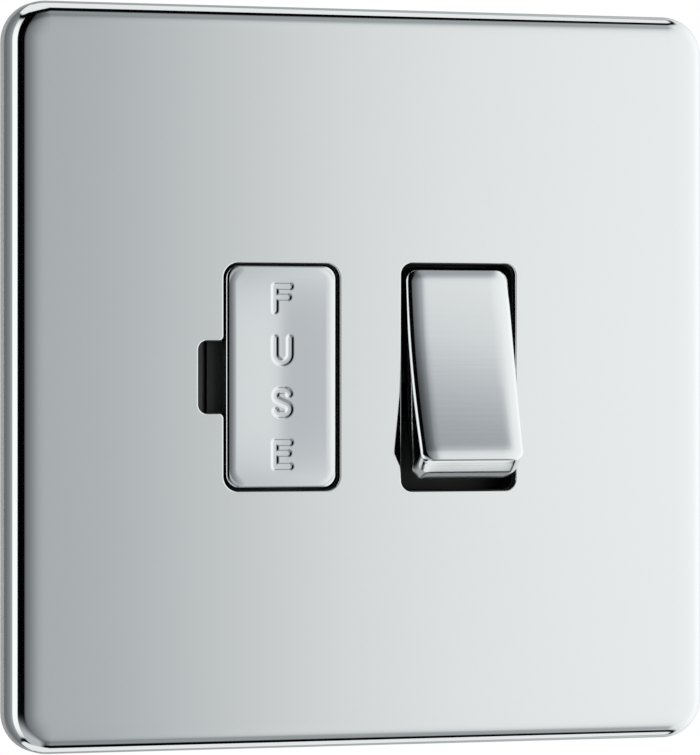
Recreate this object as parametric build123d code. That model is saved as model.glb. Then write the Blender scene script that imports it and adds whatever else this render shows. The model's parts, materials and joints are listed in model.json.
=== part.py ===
from build123d import *
import os
from math import cos, hypot, radians, sin, sqrt, tan

# Frame: X is right, Z is up, the wall is the plane Y = 0 and the plate faces -Y. All sizes in mm

# Front plate of polished sheet
PLATE = 90.0
PLATE_CORNER = 5.0
PLATE_FRONT = 4.6
SHEET = 1.0
PLATE_EDGE_R = 2.0
LIP_R = 0.12
PRY_W = 12.0
PRY_H = 1.0

# Support frame behind the plate
RIM_BAND = 1.6
RIM_GAP = 0.2
FRAME_THICK = 2.2
FRAME_FIT = 0.2
RIB = 1.2
RIB_SET = 3.0
LUG = 10.0
LUG_SPACING = 44.0
FIXING_PITCH = 60.3
FIXING_R = 2.0

# Fuse carrier and rocker stand side by side, the pair a little right of centre
CONTROL_PITCH = 22.88
CONTROL_SHIFT = 0.49

# Rocker: polished cap over a moulded dolly
ROCKER_W = 13.7
SIDE_BOW = 0.2
ROCKER_CORNER = 1.4
FACE_LEN = 24.1
FACE_R = 110.0
EDGE_RISE = 6.1
SKIRT_RISE = 1.6
END_FLARE = 1.1
CAP_SKIN = 0.8
CAP_EDGE_R = 1.1
ROCKER_TILT = 14.0
PIVOT_DEPTH = 3.2
ROCKER_SIDE_GAP = 0.65
ROCKER_END_GAP = 0.7
ROCKER_OPENING_R = 1.4
TRUNNION_R = 1.2
TRUNNION_BITE = 1.6
DOLLY_LEN = 9.0
DOLLY_DROP = 2.2
SWEEP_GAP = 0.4

# Fuse carrier: polished cap over a moulded drawer
CARRIER_W = 14.4
CARRIER_H = 27.1
CARRIER_CORNER = 1.6
CARRIER_EDGE_R = 0.8
CARRIER_SKIN = 0.9
CARRIER_GAP = 0.25
NOTCH_REACH = 3.2
NOTCH_H = 8.8
NOTCH_R = 1.1
NOTCH_ROOT_R = 0.6
LEDGE = 1.45
LEDGE_R = 1.3
DRAWER_TRAVEL = 11.5
DRAWER_FIT = 0.3
LEG = 1.2
LEG_H = 7.0
LEG_LEN = 15.2
BARB = 0.9
BARB_LEN = 2.0
CRADLE_H = 10.4
CRADLE_WALL = 1.6
CRADLE_PAST = 1.2

# Cartridge fuse link
FUSE_LEN = 25.4
FUSE_R = 3.175
FUSE_CAP_LEN = 6.0
FUSE_CAP_END = 0.6
BARREL_R = 2.9
FUSE_FRONT_GAP = 0.3

# Housing moulding and its rear cover
DECK_W = 52.0
DECK_H = 66.0
BODY_W = 48.0
BODY_H = 60.0
BODY_CORNER = 3.0
BODY_DEPTH = 16.8
BODY_FIT = 0.3
WALL = 1.6
CHEEK = 2.2
CHEEK_WEB = 1.2
RAIL_H = 12.0
WELL_LIP = 0.1
SHROUD = 0.8
BOSS_R = 2.4
BOSS_BITE = 0.4
BOSS_GAP = 1.1
PILOT_DEPTH = 10.0
SNAP = 0.8
SNAP_W = 12.0
SNAP_DEPTH = 1.2
COVER = 2.0
COVER_EDGE_R = 0.8
COVER_LIP = 1.4
COVER_LIP_W = 30.0
COVER_POST_R = 1.8
COVER_SCREW_R = 1.3
COVER_HEAD_R = 2.4
COVER_HEAD = 1.5

# Terminals
PILLAR = 7.0
PILLAR_DEPTH = 10.0
PAD = 5.0
WIRE_R = 2.0
WIRE_SET = 4.6
ENTRY_R = 2.6
TERMINAL_GAP = 2.4
TERMINAL_SCREW_R = 1.7
TERMINAL_HEAD_R = 2.0
TERMINAL_HEAD = 1.6
SCREW_SLOT = 0.7
SLOT_DEPTH = 0.8
HEAD_EDGE_R = 0.5
LINE_SHIFT = -1.4
NEUTRAL_SHIFT = 2.4
EARTH_PITCH = 10.0

# Double-pole contacts
POLE_PITCH = 7.2
ARM_W = 4.0
ARM_THICK = 1.2
ARM_HEAD = 11.6
ARM_TAIL = 6.5
ARM_SWING = 8.0
CONTACT_ARM = 10.0
TIP_R = 1.5
TIP_ROUND = 0.6
ARM_TIP = 0.6
FIXED_TIP = 1.4
RIDGE_R = 0.5
SADDLE_WEB = 0.8
SADDLE_END = 1.6
BAR_W = 4.0
BAR_SHEET = 1.0
BAR_BITE = 1.0
CLIP_SHEET = 0.7
CLIP_H = 4.4
CLIP_LEAD = 1.8
LEAF = 0.4
LEAF_FOOT = 2.5

# Sprung plungers in the dolly
PLUNGER_REACH = 4.0
PLUNGER_TIP_R = 1.3
PLUNGER_NOSE = 1.0
PLUNGER_R = 1.7
PLUNGER_SHAFT = 3.4
POCKET_ROOF = 1.2
SPRING_COIL_R = 1.2
SPRING_WIRE_R = 0.2
SPRING_TURNS = 3.0

# Clearances
RUN_FIT = 0.05
TOUCH_FIT = 0.05
CLIP_FIT = 0.08
SLIP_FIT = 0.1
HEAD_FIT = 0.3

# Depths, from the wall plane
FACE_Y = -PLATE_FRONT
DECK_Y = FACE_Y + SHEET
SEAT_Y = -FRAME_THICK
RIM_Y = -RIM_BAND
EDGE_Y = RIM_Y - RIM_GAP
PIVOT_Y = FACE_Y + PIVOT_DEPTH
ARM_Y = PIVOT_Y + PLUNGER_REACH + PLUNGER_TIP_R + TOUCH_FIT + ARM_THICK
CARRIER_REAR_Y = SEAT_Y - TOUCH_FIT
FUSE_Y = CARRIER_REAR_Y + FUSE_FRONT_GAP + FUSE_R
COVER_Y = BODY_DEPTH
PILLAR_Y = COVER_Y - PILLAR_DEPTH

# Positions across the plate
FUSE_X = CONTROL_SHIFT - CONTROL_PITCH / 2
ROCKER_X = CONTROL_SHIFT + CONTROL_PITCH / 2
LINE_X = ROCKER_X - POLE_PITCH / 2
NEUTRAL_X = ROCKER_X + POLE_PITCH / 2
POLES = (LINE_X, NEUTRAL_X)
TERMINAL_Z = BODY_H / 2 - WALL - TERMINAL_GAP - PILLAR / 2
LINE_PILLAR_X = LINE_X + LINE_SHIFT
NEUTRAL_PILLAR_X = NEUTRAL_X + NEUTRAL_SHIFT
EARTH_PILLARS_X = (FUSE_X - EARTH_PITCH / 2, FUSE_X + EARTH_PITCH / 2)
LEAF_W = EARTH_PITCH - PILLAR - 2 * HEAD_FIT
TERMINALS = [
    (LINE_PILLAR_X, -TERMINAL_Z),
    (NEUTRAL_PILLAR_X, -TERMINAL_Z),
    (FUSE_X, -TERMINAL_Z),
    (NEUTRAL_PILLAR_X, TERMINAL_Z),
] + [(x, TERMINAL_Z) for x in EARTH_PILLARS_X]
BOSS_X = BODY_W / 2 - WALL - BOSS_R + BOSS_BITE
BOSS_Z = TERMINAL_Z - PILLAR / 2 - BOSS_GAP - BOSS_R
BOSSES = [(x, z) for x in (-BOSS_X, BOSS_X) for z in (-BOSS_Z, BOSS_Z)]
CLIP_Z = FUSE_LEN / 2 - FUSE_CAP_LEN / 2

# Rocker outline, from its pivot
FACE_HALF = FACE_LEN / 2
FACE_SAG = FACE_R - sqrt(FACE_R**2 - FACE_HALF**2)
FLARE_RATE = END_FLARE / (EDGE_RISE - SKIRT_RISE)
POCKET_TOP = EDGE_RISE - FACE_SAG - CAP_SKIN - POCKET_ROOF
DOLLY_HALF = ROCKER_W / 2 - CAP_SKIN - SIDE_BOW

# Openings in the plate and, a little smaller, in the deck behind it
ROCKER_OPENING_W = ROCKER_W + 2 * ROCKER_SIDE_GAP
ROCKER_OPENING_H = 2 * (hypot(FACE_HALF + END_FLARE, SKIRT_RISE) + ROCKER_END_GAP)
FUSE_OPENING_W = CARRIER_W + 2 * CARRIER_GAP
FUSE_OPENING_H = CARRIER_H + 2 * CARRIER_GAP
FUSE_OPENING_R = CARRIER_CORNER + CARRIER_GAP
FUSE_OPENING_LEFT = FUSE_X - FUSE_OPENING_W / 2
NOTCH_LEFT = FUSE_OPENING_LEFT - NOTCH_REACH
ROCKER_WELL = ROCKER_OPENING_W / 2 - WELL_LIP
ROCKER_WELL_H = ROCKER_OPENING_H - 2 * WELL_LIP
TILT = radians(ROCKER_TILT)
FLOOR_Y = PIVOT_Y + (FACE_HALF + END_FLARE) * sin(TILT) - SKIRT_RISE * cos(TILT) + SWEEP_GAP
FLOOR_SLOT = hypot(DOLLY_LEN / 2, DOLLY_DROP) + SWEEP_GAP

# Drawer guides and stops
DRAWER_HALF = CARRIER_W / 2 - CARRIER_SKIN
RAIL_HALF = DRAWER_HALF + DRAWER_FIT
LEG_END_Y = CARRIER_REAR_Y + LEG_LEN
BARB_Y = LEG_END_Y - BARB_LEN
STOP_Y = BARB_Y - DRAWER_TRAVEL - DRAWER_FIT
RAIL_END_Y = LEG_END_Y + DRAWER_FIT

# Closed contacts: the fixed tip stands just behind the swung arm tip
SWING = radians(ARM_SWING)
CONTACT_Z = CONTACT_ARM * cos(SWING) - ARM_TIP * sin(SWING)
TIP_FLAT_R = TIP_R - TIP_ROUND
CLOSED_Y = ARM_Y + CONTACT_ARM * sin(SWING) + ARM_TIP * cos(SWING)
FIXED_TIP_Y = CLOSED_Y + TIP_FLAT_R * tan(SWING) + TOUCH_FIT
BAR_Y = FIXED_TIP_Y + FIXED_TIP
BAR_REAR_Y = BAR_Y + BAR_SHEET


def block(x0, x1, y0, y1, z0, z1):
    """Plain block between two corners"""
    return Pos((x0 + x1) / 2, (y0 + y1) / 2, (z0 + z1) / 2) * Box(abs(x1 - x0), y1 - y0, z1 - z0)


def front_plane(y, x=0.0, z=0.0):
    """Plane seen from the front: right is X, up is Z"""
    return Plane((x, y, z), x_dir=(1, 0, 0), z_dir=(0, -1, 0))


def slab(width, height, corner, y0, y1, x=0.0, z=0.0):
    """Round-cornered slab from depth y0 back to y1"""
    return extrude(front_plane(y1, x, z) * RectangleRounded(width, height, corner), amount=y1 - y0)


def drum(radius, y0, y1, x, z):
    """Cylinder along the depth"""
    return Pos(x, (y0 + y1) / 2, z) * Rot(90, 0, 0) * Cylinder(radius, y1 - y0)


def axle(radius, x0, x1, y, z):
    """Cylinder along X"""
    return Pos((x0 + x1) / 2, y, z) * Rot(0, 90, 0) * Cylinder(radius, x1 - x0)


def upright(radius, z0, z1, x, y):
    """Cylinder along Z"""
    return Pos(x, y, (z0 + z1) / 2) * Cylinder(radius, z1 - z0)


def round_front(shape, radius):
    """Round the edges of the foremost flat face"""
    return fillet(shape.faces().filter_by(Axis.Y).sort_by(Axis.Y)[0].outer_wire().edges(), radius)


def round_back(shape, radius):
    """Round the edges of the rearmost flat face"""
    return fillet(shape.faces().filter_by(Axis.Y).sort_by(Axis.Y)[-1].outer_wire().edges(), radius)


def fuse_outline():
    """Fuse opening with the prising notch at its left, as a flat outline centred on the opening"""
    left = -FUSE_OPENING_W / 2
    notch = Pos(left - NOTCH_REACH / 2 + NOTCH_R / 2, 0) * Rectangle(NOTCH_REACH + NOTCH_R, NOTCH_H)
    outline = RectangleRounded(FUSE_OPENING_W, FUSE_OPENING_H, FUSE_OPENING_R) + notch
    outline = fillet(outline.vertices().sort_by_distance((left, 0, 0))[:2], NOTCH_ROOT_R)
    return fillet(outline.vertices().group_by(Axis.X)[0], NOTCH_R)


def front_plate():
    """Pressed cover plate: rounded rim, turned-in walls, two openings with rolled edges"""
    inner = PLATE - 2 * SHEET
    shell = round_front(slab(PLATE, PLATE, PLATE_CORNER, FACE_Y, EDGE_Y), PLATE_EDGE_R)
    shell -= round_front(slab(inner, inner, PLATE_CORNER - SHEET, DECK_Y, EDGE_Y), PLATE_EDGE_R - SHEET)
    shell -= slab(ROCKER_OPENING_W, ROCKER_OPENING_H, ROCKER_OPENING_R, FACE_Y, DECK_Y, ROCKER_X)
    shell -= extrude(front_plane(DECK_Y, FUSE_X) * fuse_outline(), amount=SHEET)
    shell -= block(-PRY_W / 2, PRY_W / 2, EDGE_Y - PRY_H, EDGE_Y, -PLATE / 2, -inner / 2)
    face = shell.faces().filter_by(Axis.Y).sort_by(Axis.Y)[0]
    return fillet([edge for wire in face.inner_wires() for edge in wire.edges()], LIP_R)


def support_frame():
    """Moulded frame screwed to the wall box; the plate clips over its lugs and rests on its rib"""
    inner = PLATE - 2 * SHEET
    step = inner - 2 * FRAME_FIT
    rib = inner - 2 * RIB_SET
    frame = slab(PLATE, PLATE, PLATE_CORNER, RIM_Y, 0)
    frame += slab(step, step, PLATE_CORNER - SHEET - FRAME_FIT, SEAT_Y, RIM_Y)
    ring = slab(rib, rib, PLATE_CORNER - SHEET, DECK_Y, SEAT_Y)
    ring -= slab(rib - 2 * RIB, rib - 2 * RIB, PLATE_CORNER - SHEET - RIB, DECK_Y, SEAT_Y)
    frame += ring
    for turn in range(4):
        for side in (-1, 1):
            centre = side * LUG_SPACING / 2
            lug = block(centre - LUG / 2, centre + LUG / 2, SEAT_Y, RIM_Y, inner / 2 - RIB, inner / 2)
            frame += Rot(0, turn * 90, 0) * lug
    opening = (BODY_W + 2 * BODY_FIT, BODY_H + 2 * BODY_FIT)
    frame -= slab(opening[0], opening[1], BODY_CORNER, SEAT_Y, 0)
    recess = SNAP_W / 2 + BODY_FIT
    reach = BODY_H / 2 + SNAP + BODY_FIT
    frame -= block(-recess, recess, -SNAP_DEPTH, 0, -reach, reach)
    for side in (-1, 1):
        frame -= drum(FIXING_R, SEAT_Y, 0, side * FIXING_PITCH / 2, 0)
    return frame


def housing():
    """Front moulding: deck behind the plate, box walls, rocker bearings and drawer rails"""
    inner_w = BODY_W - 2 * WALL
    inner_h = BODY_H - 2 * WALL
    body = slab(BODY_W, BODY_H, BODY_CORNER, SEAT_Y, COVER_Y)
    body -= slab(inner_w, inner_h, BODY_CORNER - WALL, SEAT_Y, COVER_Y)
    body += slab(DECK_W, DECK_H, BODY_CORNER, DECK_Y, SEAT_Y)
    # Rocker well: walls and a floor, slotted for the dolly
    rear = FLOOR_Y + SHROUD
    outer_w = 2 * (ROCKER_WELL + SHROUD)
    outer_h = ROCKER_WELL_H + 2 * SHROUD
    body += slab(outer_w, outer_h, ROCKER_OPENING_R, SEAT_Y, rear, ROCKER_X)
    body -= slab(2 * ROCKER_WELL, ROCKER_WELL_H, ROCKER_OPENING_R, DECK_Y, FLOOR_Y, ROCKER_X)
    slot = DOLLY_HALF + SWEEP_GAP
    body -= block(ROCKER_X - slot, ROCKER_X + slot, FLOOR_Y, rear, -FLOOR_SLOT, FLOOR_SLOT)
    # Fuse well: a ledge behind the carrier's cap, and a round-shouldered pit in the notch for a blade
    well_w = FUSE_OPENING_W - 2 * WELL_LIP
    well_h = FUSE_OPENING_H - 2 * WELL_LIP
    ledge_h = FUSE_LEN + 2 * DRAWER_FIT
    body -= slab(well_w, well_h, FUSE_OPENING_R, DECK_Y, SEAT_Y, FUSE_X)
    body += slab(well_w + 2 * SHROUD, well_h + 2 * SHROUD, FUSE_OPENING_R, SEAT_Y, SEAT_Y + SHROUD, FUSE_X)
    body -= slab(2 * RAIL_HALF, ledge_h, CARRIER_CORNER, SEAT_Y, SEAT_Y + SHROUD, FUSE_X)
    pit = NOTCH_H / 2 - WELL_LIP
    brink = NOTCH_LEFT + LEDGE
    bend = (brink - LEDGE_R, DECK_Y + LEDGE_R)
    body -= block(brink, FUSE_X, DECK_Y, SEAT_Y, -pit, pit)
    body -= block(bend[0], brink, DECK_Y, bend[1], -pit, pit) - upright(LEDGE_R, -pit, pit, bend[0], bend[1])
    # Bearing cheeks for the rocker's trunnions
    bearing = TRUNNION_R + CHEEK_WEB
    bore = ROCKER_WELL + TRUNNION_BITE + SLIP_FIT
    for side in (-1, 1):
        near = ROCKER_X + side * ROCKER_WELL
        body += block(near, near + side * CHEEK, SEAT_Y, PIVOT_Y + bearing, -bearing, bearing)
    body -= axle(TRUNNION_R + RUN_FIT, ROCKER_X - bore, ROCKER_X + bore, PIVOT_Y, 0)
    # Rails for the drawer, with a groove for each barbed leg
    groove = LEG_H / 2 + DRAWER_FIT
    for side in (-1, 1):
        near = FUSE_X + side * RAIL_HALF
        body += block(near, near + side * CHEEK, SEAT_Y, RAIL_END_Y, -RAIL_H / 2, RAIL_H / 2)
        body -= block(near, near + side * BARB, STOP_Y, RAIL_END_Y, -groove, groove)
    # Bosses for the cover screws, pads under the terminals, cable entries and snaps
    for x, z in BOSSES:
        body += drum(BOSS_R, SEAT_Y, COVER_Y, x, z)
        body -= drum(COVER_SCREW_R, COVER_Y - PILOT_DEPTH, COVER_Y, x, z)
    for x, z in TERMINALS:
        body += block(x - PAD / 2, x + PAD / 2, SEAT_Y, PILLAR_Y, z - PAD / 2, z + PAD / 2)
        ends = sorted((z, BODY_H / 2 if z > 0 else -BODY_H / 2))
        body -= upright(ENTRY_R, ends[0], ends[1], x, COVER_Y - WIRE_SET)
    for side in (-1, 1):
        ends = sorted((side * (BODY_H / 2 - WALL), side * (BODY_H / 2 + SNAP)))
        body += block(-SNAP_W / 2, SNAP_W / 2, -SNAP_DEPTH, 0, ends[0], ends[1])
    slot = LEAF_W / 2 + SLIP_FIT
    body -= block(FUSE_X - slot, FUSE_X + slot, DECK_Y, SEAT_Y, TERMINAL_Z - LEAF, TERMINAL_Z + LEAF_FOOT)
    return body


def rear_cover():
    """Back moulding: posts carry the contact strips, holes give on to the terminal screws"""
    cover = round_back(slab(BODY_W, BODY_H, BODY_CORNER, COVER_Y, COVER_Y + COVER), COVER_EDGE_R)
    lip_out = BODY_H / 2 - WALL - SLIP_FIT
    for side in (-1, 1):
        ends = sorted((side * (lip_out - WALL), side * lip_out))
        cover += block(-COVER_LIP_W / 2, COVER_LIP_W / 2, COVER_Y - COVER_LIP, COVER_Y, ends[0], ends[1])
    posts = [(x, z) for x in POLES for z in (0, CONTACT_Z)] + [(FUSE_X, CLIP_Z), (FUSE_X, -CLIP_Z)]
    for x, z in posts:
        cover += drum(COVER_POST_R, BAR_REAR_Y, COVER_Y, x, z)
    for x, z in TERMINALS:
        cover -= drum(TERMINAL_HEAD_R + HEAD_FIT, COVER_Y, COVER_Y + COVER, x, z)
    for x, z in BOSSES:
        cover -= drum(COVER_SCREW_R, COVER_Y, COVER_Y + COVER, x, z)
    return cover


def slotted_screw(shank_r, head_r, head, length, y, x, z):
    """Slotted screw driven from the back, its head seated at depth y"""
    screw = round_back(drum(head_r, y, y + head, x, z), HEAD_EDGE_R) + drum(shank_r, y - length, y, x, z)
    half = SCREW_SLOT / 2
    return screw - block(x - head_r, x + head_r, y + head - SLOT_DEPTH, y + head, z - half, z + half)


def cover_screws():
    """Four screws through the cover into the housing's bosses"""
    seat = COVER_Y + COVER
    length = COVER + PILOT_DEPTH - HEAD_FIT
    shank = COVER_SCREW_R - RUN_FIT
    return Part() + [slotted_screw(shank, COVER_HEAD_R, COVER_HEAD, length, seat, x, z) for x, z in BOSSES]


def terminal_screws():
    """One clamping screw in each terminal pillar"""
    length = WIRE_SET - WIRE_R
    return Part() + [
        slotted_screw(TERMINAL_SCREW_R, TERMINAL_HEAD_R, TERMINAL_HEAD, length, COVER_Y, x, z)
        for x, z in TERMINALS
    ]


def pillar(x, z):
    """Terminal pillar with a cable hole along Z and a screw hole from the back"""
    half = PILLAR / 2
    post = block(x - half, x + half, PILLAR_Y, COVER_Y, z - half, z + half)
    post -= upright(WIRE_R, z - half, z + half, x, COVER_Y - WIRE_SET)
    return post - drum(TERMINAL_SCREW_R + RUN_FIT, COVER_Y - WIRE_SET, COVER_Y, x, z)


def strip(x, z0, z1):
    """Flat contact strip along Z"""
    return block(x - BAR_W / 2, x + BAR_W / 2, BAR_Y, BAR_REAR_Y, z0, z1)


def fuse_clip(z):
    """Forked clip for one end cap of the fuse link, with its post back to the strip"""
    near = FUSE_R + CLIP_FIT
    far = near + CLIP_SHEET
    base_y = FUSE_Y + near
    half = CLIP_H / 2
    clip = block(FUSE_X - far, FUSE_X + far, base_y, base_y + CLIP_SHEET, z - half, z + half)
    for side in (-1, 1):
        jaw_x = (FUSE_X + side * near, FUSE_X + side * far)
        clip += block(jaw_x[0], jaw_x[1], FUSE_Y - CLIP_LEAD, base_y, z - half, z + half)
    return clip + block(FUSE_X - BAR_W / 2, FUSE_X + BAR_W / 2, base_y, BAR_REAR_Y, z - half, z + half)


def supply_bar(pole_x, pillar_x):
    """Supply terminal with a strip up to the saddle that its contact arm rocks on"""
    reach = -TERMINAL_Z + PILLAR / 2 - BAR_BITE
    half = BAR_W / 2 - SLIP_FIT
    bar = pillar(pillar_x, -TERMINAL_Z) + strip(pole_x, reach, SADDLE_END)
    bar += block(pole_x - half, pole_x + half, ARM_Y, BAR_Y, -SADDLE_WEB / 2, SADDLE_WEB / 2)
    return bar + axle(RIDGE_R, pole_x - half, pole_x + half, ARM_Y, 0)


def neutral_load_bar():
    """Load neutral terminal with the strip that carries its fixed contact"""
    reach = TERMINAL_Z - PILLAR / 2 + BAR_BITE
    return pillar(NEUTRAL_PILLAR_X, TERMINAL_Z) + strip(NEUTRAL_X, CONTACT_Z - BAR_W / 2, reach)


def fuse_link_bar():
    """Strip from the line contact across to the upper fuse clip"""
    half = CLIP_H / 2
    run = block(FUSE_X, LINE_X + BAR_W / 2, BAR_Y, BAR_REAR_Y, CLIP_Z - half, CLIP_Z + half)
    return fuse_clip(CLIP_Z) + run


def line_load_bar():
    """Lower fuse clip with the strip down to the load line terminal"""
    reach = -TERMINAL_Z + PILLAR / 2 - BAR_BITE
    return fuse_clip(-CLIP_Z) + strip(FUSE_X, reach, -CLIP_Z) + pillar(FUSE_X, -TERMINAL_Z)


def earth_bar():
    """Two earth pillars joined by a strip"""
    half = BAR_W / 2
    inset = PILLAR / 2 - BAR_BITE
    ends = (EARTH_PILLARS_X[0] + inset, EARTH_PILLARS_X[1] - inset)
    bar = block(ends[0], ends[1], BAR_Y, BAR_REAR_Y, TERMINAL_Z - half, TERMINAL_Z + half)
    for x in EARTH_PILLARS_X:
        bar += pillar(x, TERMINAL_Z)
    return bar


def earth_spring():
    """Leaf from the earth strip forward to the back of the metal plate"""
    half = LEAF_W / 2
    leaf = block(FUSE_X - half, FUSE_X + half, DECK_Y, BAR_Y, TERMINAL_Z, TERMINAL_Z + LEAF)
    foot = block(FUSE_X - half, FUSE_X + half, DECK_Y, DECK_Y + LEAF, TERMINAL_Z, TERMINAL_Z + LEAF_FOOT)
    return leaf + foot


def fixed_tips():
    """Fixed contact tips on the two strips"""
    tips = []
    for x in POLES:
        tip = drum(TIP_R, FIXED_TIP_Y, BAR_Y, x, CONTACT_Z)
        tips.append(round_front(tip, TIP_ROUND))
    return Part() + tips


def place_arm(shape, x):
    """Swing a piece of a contact arm into its open position"""
    return Pos(x, ARM_Y, 0) * Rot(ARM_SWING, 0, 0) * shape


def contact_arm(x):
    """See-saw arm: a bar with a groove at its back that rocks on the saddle's ridge"""
    half = ARM_W / 2
    arm = block(-half, half, -ARM_THICK, 0, -ARM_TAIL, ARM_HEAD)
    return place_arm(arm - axle(RIDGE_R + RUN_FIT, -half, half, 0, 0), x)


def arm_tip(x):
    """Contact tip at the head of an arm"""
    return place_arm(drum(TIP_R, 0, ARM_TIP, 0, CONTACT_ARM), x)


def place_rocker(shape):
    """Tilt a rocker piece about its pivot: top pressed in, bottom out"""
    return Pos(ROCKER_X, PIVOT_Y, 0) * Rot(-ROCKER_TILT, 0, 0) * shape


def rocker_form(inset):
    """Rocker body above the skirt line, its surface set in by inset: dished face, flared ends, bowed sides"""
    foot = SKIRT_RISE - 2 * CAP_SKIN
    foot_half = FACE_HALF + FLARE_RATE * (EDGE_RISE - foot)
    dish = ThreePointArc((-EDGE_RISE, -FACE_HALF), (FACE_SAG - EDGE_RISE, 0), (-EDGE_RISE, FACE_HALF))
    ends = Polyline(
        (-EDGE_RISE, FACE_HALF), (-foot, foot_half), (-foot, -foot_half), (-EDGE_RISE, -FACE_HALF)
    )
    profile = make_face(dish + ends)
    wide = ROCKER_W / 2
    narrow = wide - SIDE_BOW
    right = ThreePointArc((narrow, -foot_half), (wide, 0), (narrow, foot_half))
    left = ThreePointArc((-narrow, foot_half), (-wide, 0), (-narrow, -foot_half))
    caps = [Line(right @ 1, left @ 0), Line(left @ 1, right @ 0)]
    plan = make_face(Curve() + [right, left] + caps)
    if inset:
        profile = offset(profile, -inset, kind=Kind.INTERSECTION)
        plan = offset(plan, -inset, kind=Kind.INTERSECTION)
    form = extrude(Plane.YZ * profile, amount=ROCKER_W, both=True)
    form &= extrude(front_plane(0) * plan, amount=EDGE_RISE)
    form &= block(-ROCKER_W, ROCKER_W, -EDGE_RISE, -SKIRT_RISE, -foot_half, foot_half)
    form = fillet([edge for edge in form.edges() if abs((edge % 0.5).Y) > 0.5], ROCKER_CORNER - inset)
    return fillet(form.faces().sort_by(Axis.Y)[0].edges(), CAP_EDGE_R - inset)


def rocker_cap():
    """Polished cap: an even skin over the rocker's face, ends and sides"""
    return place_rocker(rocker_form(0) - rocker_form(CAP_SKIN))


def rocker_dolly():
    """Moulded body inside the cap, with trunnions and a pocket for each plunger"""
    dolly = rocker_form(CAP_SKIN)
    dolly += block(-DOLLY_HALF, DOLLY_HALF, -SKIRT_RISE, DOLLY_DROP, -DOLLY_LEN / 2, DOLLY_LEN / 2)
    reach = ROCKER_WELL + TRUNNION_BITE
    dolly += axle(TRUNNION_R, -reach, reach, 0, 0)
    for side in (-1, 1):
        dolly -= drum(PLUNGER_R + SLIP_FIT, -POCKET_TOP, DOLLY_DROP, side * POLE_PITCH / 2, 0)
    return place_rocker(dolly)


def plunger(x):
    """Plunger with a ball nose that bears on a contact arm"""
    shoulder = PLUNGER_REACH - PLUNGER_NOSE
    pin = drum(PLUNGER_R, shoulder - PLUNGER_SHAFT, shoulder, 0, 0)
    pin += drum(PLUNGER_TIP_R, shoulder, PLUNGER_REACH, 0, 0)
    pin += Pos(0, PLUNGER_REACH, 0) * Sphere(PLUNGER_TIP_R)
    return place_rocker(Pos(x - ROCKER_X, 0, 0) * pin)


def plunger_spring(x):
    """Coil spring between the pocket's roof and the plunger"""
    length = POCKET_TOP + PLUNGER_REACH - PLUNGER_NOSE - PLUNGER_SHAFT - 2 * SPRING_WIRE_R
    start = (0, SPRING_WIRE_R - POCKET_TOP, 0)
    path = Helix(length / SPRING_TURNS, length, SPRING_COIL_R, center=start, direction=(0, 1, 0))
    coil = sweep(Plane(path @ 0, z_dir=path % 0) * Circle(SPRING_WIRE_R), path=path, is_frenet=True)
    return place_rocker(Pos(x - ROCKER_X, 0, 0) * coil)


def carrier_form(inset):
    """Fuse carrier's front block, its surface set in by inset"""
    width = CARRIER_W - 2 * inset
    height = CARRIER_H - 2 * inset
    form = slab(width, height, CARRIER_CORNER - inset, FACE_Y + inset, CARRIER_REAR_Y, FUSE_X)
    return round_front(form, CARRIER_EDGE_R) if inset == 0 else form


def drawer_cap():
    """Polished cap of the fuse carrier, flush with the plate"""
    return carrier_form(0) - carrier_form(CARRIER_SKIN)


def fuse_drawer():
    """Moulded drawer: block inside the cap, cradle round the fuse link, two barbed legs"""
    drawer = carrier_form(CARRIER_SKIN)
    half = BARREL_R + CRADLE_WALL
    lift = CRADLE_H / 2
    drawer += block(FUSE_X - half, FUSE_X + half, CARRIER_REAR_Y, FUSE_Y + CRADLE_PAST, -lift, lift)
    drawer -= upright(BARREL_R, -lift, lift, FUSE_X, FUSE_Y)
    for side in (-1, 1):
        out = FUSE_X + side * DRAWER_HALF
        drawer += block(out - side * LEG, out, CARRIER_REAR_Y, LEG_END_Y, -LEG_H / 2, LEG_H / 2)
        drawer += block(out, out + side * BARB, BARB_Y, LEG_END_Y, -LEG_H / 2, LEG_H / 2)
    return drawer


def fuse_barrel():
    """Ceramic barrel of the fuse link"""
    half = FUSE_LEN / 2 - FUSE_CAP_END
    return upright(BARREL_R, -half, half, FUSE_X, FUSE_Y)


def fuse_caps():
    """Metal end caps of the fuse link"""
    caps = []
    for side in (-1, 1):
        ends = sorted((side * FUSE_LEN / 2, side * (FUSE_LEN / 2 - FUSE_CAP_LEN)))
        caps.append(upright(FUSE_R, ends[0], ends[1], FUSE_X, FUSE_Y) - fuse_barrel())
    return Part() + caps


PIECES = {
    "front_plate": front_plate(),
    "support_frame": support_frame(),
    "housing": housing(),
    "rear_cover": rear_cover(),
    "cover_screws": cover_screws(),
    "terminal_screws": terminal_screws(),
    "line_supply_bar": supply_bar(LINE_X, LINE_PILLAR_X),
    "neutral_supply_bar": supply_bar(NEUTRAL_X, NEUTRAL_PILLAR_X),
    "neutral_load_bar": neutral_load_bar(),
    "fuse_link_bar": fuse_link_bar(),
    "line_load_bar": line_load_bar(),
    "earth_bar": earth_bar(),
    "earth_spring": earth_spring(),
    "fixed_tips": fixed_tips(),
    "line_arm": contact_arm(LINE_X),
    "line_arm_tip": arm_tip(LINE_X),
    "neutral_arm": contact_arm(NEUTRAL_X),
    "neutral_arm_tip": arm_tip(NEUTRAL_X),
    "rocker_cap": rocker_cap(),
    "rocker_dolly": rocker_dolly(),
    "line_plunger": plunger(LINE_X),
    "neutral_plunger": plunger(NEUTRAL_X),
    "line_spring": plunger_spring(LINE_X),
    "neutral_spring": plunger_spring(NEUTRAL_X),
    "drawer_cap": drawer_cap(),
    "fuse_drawer": fuse_drawer(),
    "fuse_barrel": fuse_barrel(),
    "fuse_caps": fuse_caps(),
}

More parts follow.
